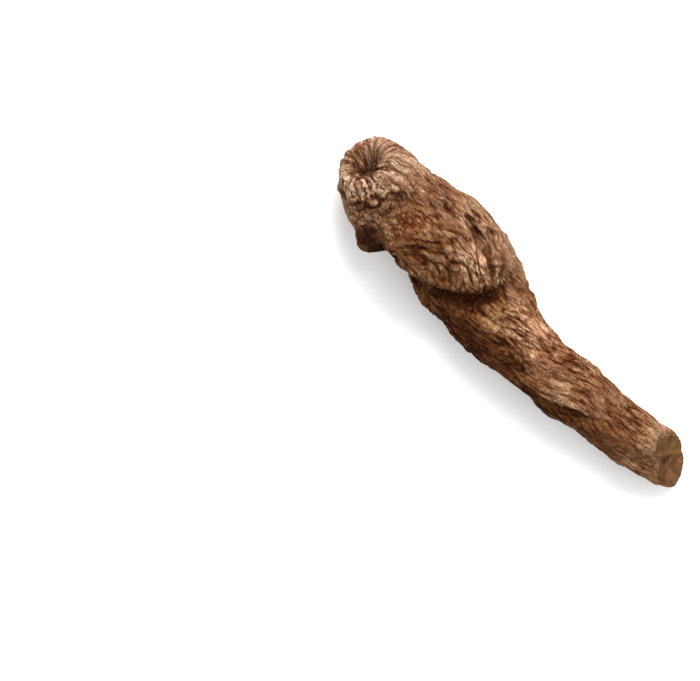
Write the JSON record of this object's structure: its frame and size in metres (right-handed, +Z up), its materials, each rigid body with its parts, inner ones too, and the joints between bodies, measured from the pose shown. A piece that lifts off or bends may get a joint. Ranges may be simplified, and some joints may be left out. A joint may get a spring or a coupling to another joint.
{
  "type": "costus root",
  "caption": "Dried costus root with a sunken, pleated crown, a thick lobed shoulder, a narrow neck and a tapering tail cut off obliquely.",
  "frame": {"origin": "on the ground, under the middle of the root's bounding box as it lies", "axes": "+X along the root from the crown to the cut end, +Z up, +Y to the left when looking along +X"},
  "size_m": [0.1446, 0.0326, 0.0308],
  "materials": {
    "root": "dry, deeply fissured brown skin, matt"
  },
  "bodies": {
    "root": {"costus_root": "root"}
  },
  "joints": []
}
